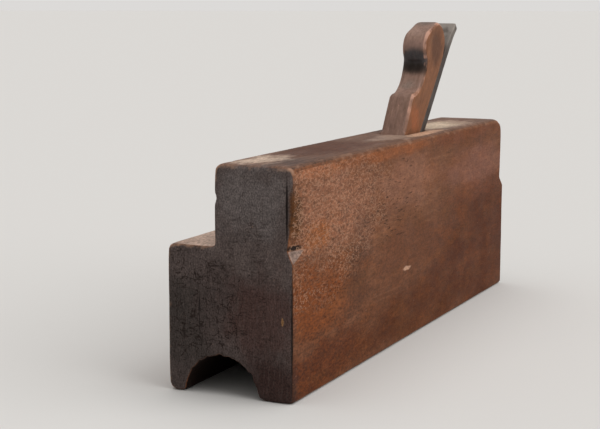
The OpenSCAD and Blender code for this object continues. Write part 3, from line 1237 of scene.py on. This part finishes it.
@dataclass
class Wedge:
    """The beech wedge with its round finial."""

    spacing_mm: float = 0.4
    # The thumb rubs whole chamfers, so edges are felt over a wide reach.
    edge_rounds: int = 30
    # Rubbing on either side of the middle, the least part of it that shows anywhere, and
    # the swing and length of its waves.
    middle_x: float = 9.6
    blind_rub: float = 3.5
    other_rub: float = 1.8
    least_part: float = 0.1
    rub_swing: float = 0.6
    rub_wave: float = 5.0
    # Where the bed meets the sole, and how far off the bed the rubbed front begins.
    mouth_y: float = -40.3
    iron_side: float = 5.5
    front_over: float = 3.0
    # Sine of the turn from the front to the rubbed chamfers, how far around it counts,
    # and the height of the peak there, which is cut off at one.
    chamfer_turn: float = 0.7
    chamfer_span: float = 0.25
    chamfer_peak: float = 1.2
    # Where hands begin to rub, where the mortise ends, and where finial and crown begin.
    held_from: float = 78.0
    held_over: float = 14.0
    held_least: float = 0.2
    mortise_top: float = 83.0
    finial_from: float = 108.0
    finial_over: float = 8.0
    crown_from: float = 112.0
    crown_over: float = 14.0
    crown_wear_mm: float = 0.9
    # Rounding of the arrises, with the part of it inside the mortise, and of the finial.
    arris_rounds: int = 4
    arris_share: float = 0.55
    arris_least: float = 0.2
    arris_swing: float = 0.5
    arris_wave: float = 8.0
    inside_part: float = 0.4
    finial_rounds: int = 24
    finial_share: float = 0.9
    # Waves of the faces, their height, and the wood lost all over.
    face_wave: float = 12.0
    face_height: float = 0.04
    lost_mm: float = 0.06
    finish: AgedBeech = AgedBeech(
        name="oiled_beech_wedge",
        lie=Lie.UP_WEDGE,
        side=Tones("#633d28", "#805439", "#8f6348"),
        face=Tones("#67503f", "#84675a", "#9b7f71"),
        end=Tones("#4a3a33", "#66534a", "#75605a"),
        rubbed="#cf9f8a",
        bruised="#a97f64",
        pore="#20140f",
        patches=(
            # Finial: a painted highlight band on the top and front of the nose, painted shade on its
            # lower front, a painted shadow on its underside and the neck below, and the crown
            # darkened as painted shade.
            Patch("#94776c", Zone((9.6, 33.5, 119.5), (7, 5, 3.5), 0.7, 0.2, 3.0)),
            Patch("#4b4849", Zone((9.6, 34, 113.5), (10, 9, 7.0), 0.9, 0.1, 3.0, HEEL, (0.2, 0.5))),
            Patch("#20160f", Zone((9.6, 38, 109.6), (13, 9, 4.8), 0.88, 0.2, 3.0, HEEL, (0.2, 0.5))),
            Patch("#665b54", Zone((9.6, 46, 131), (9, 12, 4), 0.7, 0.2, 3.0)),
            # Neck, side of the finial, side of the block.
            Patch("#7b6f65", Zone((9.6, 33.0, 100), (6, 9, 6), 0.6, 0.3, 3.0)),
            Patch("#5c3c2b", Zone((15.4, 47, 119), (3, 10, 12), 0.8, 0.3, 3.0)),
            Patch("#9a5b38", Zone((15.4, 21, 89), (3, 7, 8), 0.65, 0.4, 3.0)),
        ),
        roughness=0.56,
        sound_swing=0.5,
        end_swing=0.7,
        fleck_mm=(0.7, 2.6, 0.7),
        streak_mm=(0.9, 26.0, 0.9),
    )

    def build(self) -> bpy.types.Object:
        """Wears the wedge and dresses it.

        Returns:
            The finished piece.
        """
        solid = WornSolid("wedge", self.spacing_mm, self.edge_rounds)
        x, y, z = solid.points.T
        slope = math.radians(Lie.UP_BED.value)
        off_bed = z * math.cos(slope) - (y - self.mouth_y) * math.sin(slope)
        off_chamfer = np.abs(np.abs(solid.normals[:, 0]) - self.chamfer_turn)
        handled = np.where(x > self.middle_x, self.blind_rub, self.other_rub)
        chamfer = self.chamfer_peak - off_chamfer / self.chamfer_span
        handled = handled * np.clip(chamfer, self.least_part, 1.0)
        waves = 1 + self.rub_swing * solid.ripple(self.rub_wave, 9.0)
        handled *= np.clip((z - self.held_from) / self.held_over, self.held_least, 1.0) * waves
        handled *= np.clip((off_bed - self.iron_side) / self.front_over, self.least_part, 1.0)
        share = self.arris_share + self.arris_swing * solid.ripple(self.arris_wave, 4.0)
        part = np.where(z > self.mortise_top, 1.0, self.inside_part)
        solid.wear(self.arris_rounds, np.clip(share, self.arris_least, 1.0) * part)
        finial = np.clip((z - self.finial_from) / self.finial_over, 0, 1)
        solid.wear(self.finial_rounds, self.finial_share * finial)
        solid.push(self.face_height * solid.ripple(self.face_wave, 6.0) + self.lost_mm)
        crown = np.clip((z - self.crown_from) / self.crown_over, 0, 1)
        solid.points[:, 2] -= self.crown_wear_mm * crown
        return solid.finish("wedge", "beech_wedge", self.finish.material(), handled)


@dataclass
class Lamp:
    """A broad soft lamp, far enough off to light the floor evenly."""

    name: str
    azimuth: float
    height: float
    spread: float
    strength: float

    def build(self) -> None:
        """Hangs the lamp."""
        data = bpy.data.lights.new(self.name, "SUN")
        data.angle = math.radians(self.spread)
        data.energy = self.strength
        made = bpy.data.objects.new(self.name, data)
        turn, rise = math.radians(self.azimuth), math.radians(self.height)
        from_lamp = Vector(
            (-math.sin(turn) * math.cos(rise), math.cos(turn) * math.cos(rise), -math.sin(rise))
        )
        made.rotation_euler = from_lamp.to_track_quat("-Z", "Y").to_euler()
        bpy.context.scene.collection.objects.link(made)


@dataclass
class Studio:
    """Pale floor, soft light and the camera."""

    floor_half_m: float = 60.0
    floor_drop_mm: float = 0.05
    floor_colour: str = "#d8d6d3"
    floor_roughness: float = 0.9
    sky_colour: str = "#dcdad8"
    ambient: float = 0.62
    sensor_mm: float = 36.0
    nearest_m: float = 0.01
    focal_px: float = 1387.1
    yaw: float = 25.28
    pitch: float = 8.47
    eye_mm: Triple = (225.02, -538.84, 135.77)
    lamps: tuple[Lamp, ...] = (
        Lamp("key", 95.0, 40.0, 60.0, 1.35),
        Lamp("overhead", 200.0, 82.0, 60.0, 1.0),
    )

    def build(self) -> None:
        """Sets up floor, light and camera."""
        scene = bpy.context.scene
        scene.view_settings.view_transform = "Standard"
        self._floor()
        self._sky(scene)
        for lamp in self.lamps:
            lamp.build()
        self._camera(scene)

    def _floor(self) -> None:
        """Lays the matt floor just under the sole."""
        mesh = bpy.data.meshes.new("floor")
        half, low = self.floor_half_m, -self.floor_drop_mm * MM
        corners = [(-half, -half, low), (half, -half, low), (half, half, low), (-half, half, low)]
        mesh.from_pydata(corners, [], [(0, 1, 2, 3)])
        # Matt background paper: even, pale and without gloss.
        paper = bpy.data.materials.new("matt_paper_floor")
        paper.use_nodes = True
        shader = paper.node_tree.nodes["Principled BSDF"]
        shader.inputs["Base Color"].default_value = linear(self.floor_colour)
        shader.inputs["Roughness"].default_value = self.floor_roughness
        shader.inputs["Specular IOR Level"].default_value = 0.0
        mesh.materials.append(paper)
        floor = bpy.data.objects.new("floor", mesh)
        bpy.context.scene.collection.objects.link(floor)

    def _sky(self, scene: bpy.types.Scene) -> None:
        """Makes the pale surroundings that also give the soft light."""
        world = bpy.data.worlds.new("studio")
        world.use_nodes = True
        scene.world = world
        tree = world.node_tree
        rays = add(tree, "ShaderNodeLightPath", {}).node.outputs
        seen = rays["Is Camera Ray"]
        for other in ("Is Glossy Ray", "Is Transmission Ray"):
            seen = add(tree, "ShaderNodeMath", {0: seen, 1: rays[other]}, operation="MAXIMUM")
        level = add(
            tree, "ShaderNodeMapRange", {"Value": seen, "To Min": self.ambient, "To Max": 1.0}
        )
        back = tree.nodes["Background"]
        back.inputs["Color"].default_value = linear(self.sky_colour)
        tree.links.new(level, back.inputs["Strength"])

    def _camera(self, scene: bpy.types.Scene) -> None:
        """Puts the camera where the photograph was taken from."""
        data = bpy.data.cameras.new("camera")
        data.sensor_fit = "HORIZONTAL"
        data.sensor_width = self.sensor_mm
        data.lens = self.focal_px / PHOTO_WIDTH * data.sensor_width
        data.clip_start = self.nearest_m
        made = bpy.data.objects.new("camera", data)
        yaw, pitch = math.radians(self.yaw), math.radians(self.pitch)
        turn = Matrix.Rotation(yaw, 4, "Z") @ Matrix.Rotation(math.pi / 2 - pitch, 4, "X")
        made.matrix_world = Matrix.Translation(Vector(self.eye_mm) * MM) @ turn
        scene.collection.objects.link(made)
        scene.camera = made


def main() -> None:
    """Builds the plane piece by piece and reports each one."""
    logging.basicConfig(level=logging.INFO, format="%(name)s: %(message)s")
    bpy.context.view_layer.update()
    Studio().build()
    for maker in (Stock(), Iron(), Wedge()):
        piece = maker.build()
        LOG.info("%s: %d faces", piece.name, len(piece.data.polygons))


if __name__ == "__main__":
    main()
